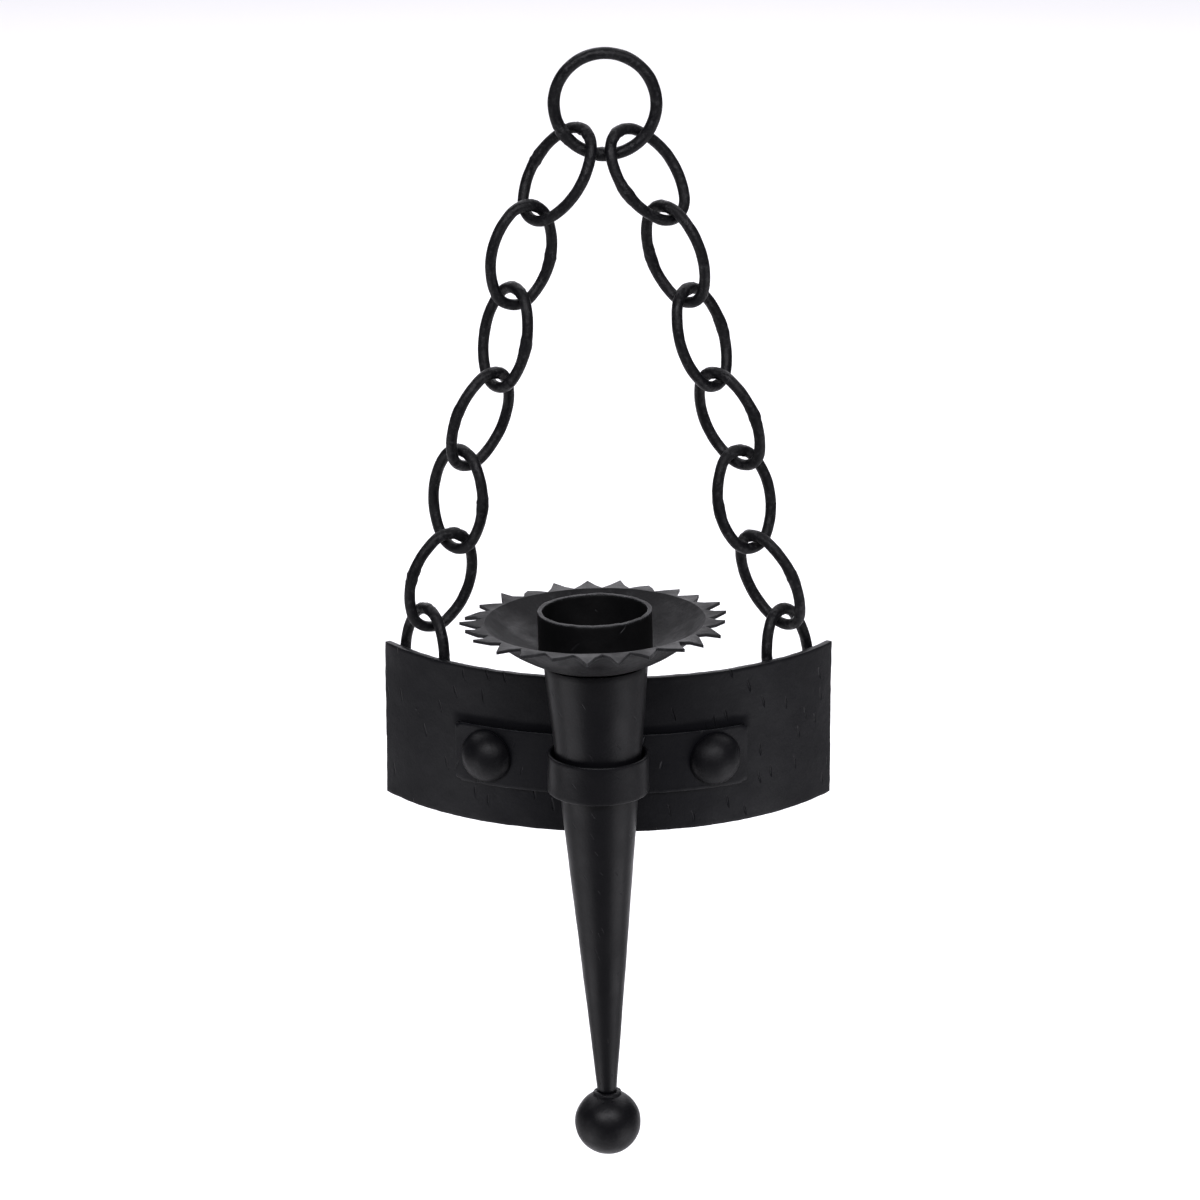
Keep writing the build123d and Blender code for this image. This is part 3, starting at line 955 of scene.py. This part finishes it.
class SCONCE_OT_torch_cone(bpy.types.Operator):
    """Rolls the tapering cone of the torch, with its seam at the back"""
    bl_idname = "sconce.torch_cone"
    bl_label = "Torch cone"

    def execute(self, context):
        torch = context.scene.sconce_torch
        tip, top = (torch.tip_radius, torch.tip), (torch.top_radius, torch.top - PAN_GAP)
        inner_top, inner_tip = (top[0] - torch.wall, top[1]), (tip[0] - torch.wall, tip[1])
        points = stretch(tip, top, 64) + [top] + stretch(inner_top, inner_tip, 16) + [inner_tip]
        cone = turn_up("torch_body", points, 84)
        slope = (top[0] - tip[0]) / (top[1] - tip[1])
        edit()
        for half_width, depth in ((7, 0.12), (3, 0.3)):
            choose(cone, "VERT", lambda co: co.y > 0 and abs(degrees(atan2(co.x, co.y))) < half_width
                   and sqrt(co.x**2 + co.y**2) > tip[0] + slope * (co.z - tip[1]) - 0.6 * MM)
            bpy.ops.transform.translate(value=(0, -depth * MM, 0))
        for reach in (2, 7, 10):
            choose(cone, "VERT", lambda co: co.z > top[1] - 0.1 * MM and co.y < -reach * MM)
            bpy.ops.transform.translate(value=(0, 0, -0.13 * MM))
        leave()
        soften(cone, 0.15 * MM, sharpness=70)
        roughen(cone, "hammering", 9 * MM, 0.22 * MM)
        set_up_torch(cone)
        complete(cone, "torch", ["torch_cone"], torch_iron())
        return {"FINISHED"}


class SCONCE_OT_drip_pan(bpy.types.Operator):
    """Dishes the drip pan and cuts its rim into pointed teeth by hand"""
    bl_idname = "sconce.drip_pan"
    bl_label = "Drip pan"

    def execute(self, context):
        torch = context.scene.sconce_torch
        floor_radius, root, tip, sheet = torch.pan_floor_radius, torch.pan_root_radius, torch.pan_tip_radius, torch.pan_sheet
        rim = torch.pan_depth
        under, over = [], []
        for i in range(17):
            part = i / 16
            radius = floor_radius + (root - 0.6 * MM - floor_radius) * part
            height = (rim - sheet) * (0.62 * part + 0.38 * part**2.2)
            under.append((radius + 0.3 * MM, height))
            over.append((radius, height + sheet))
        points = (
            [(0, 0)] + stretch((2 * MM, 0), under[0], 8) + under + [(root, rim - sheet), (root, rim)]
            + over[::-1] + stretch(over[0], (0, sheet), 8)[1:] + [(0, sheet)]
        )
        steps = 4 * torch.teeth
        pan = turn_up("toothed_pan", points, steps, closed=False)
        self.cut_teeth(pan, torch, root, tip, rim, sheet)
        soften(pan, 0.09 * MM, sharpness=60, segments=1)
        roughen(pan, "hammering", 6 * MM, 0.25 * MM)
        pan.location.z = torch.pan_height
        settle()
        set_up_torch(pan)
        complete(pan, "torch", ["drip_pan"], pan_iron(), smooth=35)
        return {"FINISHED"}

    def cut_teeth(self, pan, torch, root, tip, rim, sheet):
        """Pulls the rim's outer face out to the tips, then draws it in to the roots between them."""
        edit("FACE")
        choose(pan, "FACE", lambda co: sqrt(co.x**2 + co.y**2) > root * 0.997 and co.z > rim - 0.9 * sheet)
        bpy.ops.mesh.extrude_region()
        grow = tip / root
        bpy.ops.transform.resize(value=(grow, grow, 1), center_override=(0, 0, 0))
        pitch = 2 * pi / torch.teeth
        halfway = sqrt((root * cos(pitch / 2) + tip)**2 + (root * sin(pitch / 2))**2) / 2 - 0.2 * MM
        rng = np.random.default_rng(SEED)
        for i in range(torch.teeth):
            for phase in range(4):
                towards = pi + pitch * (i + phase / 4)
                along, out, up, shrink = 0.0, 0.0, 0.0, 1.0
                if phase == 0:
                    along, out, up = rng.uniform(-1, 1, 3)
                elif phase == 2:
                    shrink = root / tip
                else:
                    shrink = halfway / tip
                spot = tip * Vector((cos(towards), sin(towards), 0))
                choose(pan, "VERT",
                       lambda co: sqrt(co.x**2 + co.y**2) > tip * 0.998 and (co.xy - spot.xy).length < 0.4 * MM)
                bpy.ops.transform.resize(value=(shrink, shrink, 1), center_override=(0, 0, 0))
                ragged = torch.raggedness
                sideways = Vector((-sin(towards), cos(towards), 0)) * along * ragged
                shift = sideways + spot.normalized() * out * ragged * 0.7
                bpy.ops.transform.translate(value=(shift.x, shift.y, up * ragged))
        leave()
        close_up(gap=0.03)


class SCONCE_OT_candle_cup(bpy.types.Operator):
    """Turns the plain cup that the candle stands in, with an uneven rim"""
    bl_idname = "sconce.candle_cup"
    bl_label = "Candle cup"

    def execute(self, context):
        torch = context.scene.sconce_torch
        bottom = torch.pan_height + torch.pan_sheet + 0.02 * MM
        floor = bottom + torch.wall
        outer, inner, rim = torch.cup_radius, torch.cup_radius - torch.wall, torch.cup_rim
        points = (
            stretch((outer, bottom), (outer, rim), 12) + stretch((outer, rim), (inner, rim), 2)
            + stretch((inner, rim), (inner, floor), 12) + stretch((inner, floor), (2.7 * MM, floor), 6)
            + stretch((2.7 * MM, floor), (2.7 * MM, bottom), 1) + stretch((2.7 * MM, bottom), (outer, bottom),
                                                                          6)
        )
        cup = turn_up("cup", points, 96)
        soften(cup, 0.18 * MM, segments=2)
        mark(cup, "rim", lambda co: co.z > rim - 0.7 * MM)
        roughen(cup, "hammering", 7 * MM, 0.12 * MM)
        roughen(cup, "sawn_rim", 1.8 * MM, 0.3 * MM, "rim")
        set_up_torch(cup)
        complete(cup, "torch", ["candle_cup"], cup_iron())
        return {"FINISHED"}


class SCONCE_OT_ball_finial(bpy.types.Operator):
    """Forges the ball at the tip, flat where the cone stands on it"""
    bl_idname = "sconce.ball_finial"
    bl_label = "Ball finial"

    def execute(self, context):
        torch = context.scene.sconce_torch
        ball = begin("ball", bpy.ops.mesh.primitive_uv_sphere_add, segments=72, ring_count=48,
                     radius=torch.ball_radius,
                     location=(0, 0, torch.ball_height))
        settle()
        edit()
        bpy.ops.mesh.select_all(action="SELECT")
        bpy.ops.mesh.bisect(plane_co=(0, 0, torch.tip - 0.02 * MM), plane_no=(0, 0, 1), use_fill=True,
                            clear_outer=True)
        leave()
        roughen(ball, "hammering", 5 * MM, 0.22 * MM)
        set_up_torch(ball)
        complete(ball, "torch", ["ball_finial"], rivet_iron())
        return {"FINISHED"}


class SCONCE_OT_inner_parts(bpy.types.Operator):
    """Paints the cap and the flush rivet that keep their frame shapes"""
    bl_idname = "sconce.inner_parts"
    bl_label = "Inner parts"

    def execute(self, context):
        for node, material in (("cone_cap", torch_iron()), ("pan_rivet", cup_iron())):
            for holder in frame["nodes"][node].material_slots:
                holder.material = material
        return {"FINISHED"}


# ---------------------------------------------------------------- stage

def panel(name, power, size, spot, aim):
    bpy.ops.object.light_add(type="AREA", location=spot)
    lamp = bpy.context.active_object
    lamp.name = name
    lamp.data.energy = power
    lamp.data.color = LAMP_COLOUR
    lamp.data.shape = "RECTANGLE"
    lamp.data.size, lamp.data.size_y = size
    lamp.visible_camera = False
    lamp.rotation_euler = (Vector(aim) - Vector(spot)).to_track_quat("-Z", "Y").to_euler()


class SCONCE_OT_stage(bpy.types.Operator):
    """Sets up the pale floor, the soft lights and the camera"""
    bl_idname = "sconce.stage"
    bl_label = "Stage"

    def execute(self, context):
        stage = context.scene.sconce_stage
        low, high = cad_box
        floor = begin("floor", bpy.ops.mesh.primitive_plane_add, size=2 * stage.floor_size,
                      location=(0, 0, low[2] - stage.floor_drop))
        settle()
        pale = bpy.data.materials.new("pale_floor")
        pale.use_nodes = True
        pale.node_tree.nodes.clear()
        board = Board(pale.node_tree)
        spot = board.add("ShaderNodeTexCoord").outputs["Object"]
        cloud = board.noise(spot, 3.0, 4.0)
        shade = board.add("ShaderNodeMix", {"data_type": "RGBA"}, at_0=cloud)
        shade.inputs[6].default_value = (*stage.floor_colour, 1)
        shade.inputs[7].default_value = (*[0.98 * c for c in stage.floor_colour], 1)
        surface = board.add("ShaderNodeBsdfPrincipled", None, Roughness=0.9)
        board.feed(surface, "Base Color", shade.outputs[2])
        output = board.add("ShaderNodeOutputMaterial")
        board.feed(output, "Surface", surface.outputs[0])
        floor.data.materials.append(pale)

        world = bpy.data.worlds.new("room")
        world.use_nodes = True
        world.node_tree.nodes["Background"].inputs["Color"].default_value = ROOM_COLOUR
        world.node_tree.nodes["Background"].inputs["Strength"].default_value = stage.room
        context.scene.world = world

        centre = (Vector(low) + Vector(high)) / 2
        for name, source, part, size, place, target in PANELS:
            panel(name, part * getattr(stage, source), size, centre + Vector(place), centre + Vector(target))

        aim = Vector((centre.x - CAMERA_ASIDE, MOUNTS["candle_socket"]["pos_m"][1], -stage.aim))
        back = Vector((0, -cos(stage.pitch), sin(stage.pitch)))
        bpy.ops.object.camera_add(location=aim + stage.distance * back, rotation=(pi / 2 - stage.pitch, 0, 0))
        camera = context.active_object
        camera.name = "camera"
        camera.data.lens = stage.lens
        context.scene.camera = camera
        context.scene.view_settings.view_transform = "Standard"
        return {"FINISHED"}


# ---------------------------------------------------------------- panel and registration

PIECES = (
    SCONCE_OT_hanging_ring,
    SCONCE_OT_chain_links,
    SCONCE_OT_back_plate,
    SCONCE_OT_mounting_strap,
    SCONCE_OT_rivets,
    SCONCE_OT_collar,
    SCONCE_OT_welds,
    SCONCE_OT_torch_cone,
    SCONCE_OT_drip_pan,
    SCONCE_OT_candle_cup,
    SCONCE_OT_ball_finial,
    SCONCE_OT_inner_parts,
    SCONCE_OT_stage,
)
GROUPS = {
    "sconce_chain": SconceChain,
    "sconce_plate": SconcePlate,
    "sconce_torch": SconceTorch,
    "sconce_finish": SconceFinish,
    "sconce_stage": SconceStage,
}


class SCONCE_PT_sidebar(bpy.types.Panel):
    """Lists the pieces of the sconce"""
    bl_idname = "SCONCE_PT_sidebar"
    bl_label = "Wall sconce"
    bl_space_type = "VIEW_3D"
    bl_region_type = "UI"
    bl_category = "Sconce"

    def draw(self, context):
        for operator in PIECES:
            self.layout.operator(operator.bl_idname)


def register():
    for kind in (*GROUPS.values(), *PIECES, SCONCE_PT_sidebar):
        bpy.utils.register_class(kind)
    for name, kind in GROUPS.items():
        setattr(bpy.types.Scene, name, PointerProperty(type=kind))


def unregister():
    for name in GROUPS:
        delattr(bpy.types.Scene, name)
    for kind in (SCONCE_PT_sidebar, *reversed(PIECES), *reversed(GROUPS.values())):
        bpy.utils.unregister_class(kind)


def main():
    register()
    for operator in PIECES:
        family, name = operator.bl_idname.split(".")
        getattr(getattr(bpy.ops, family), name)()


if __name__ == "__main__":
    main()
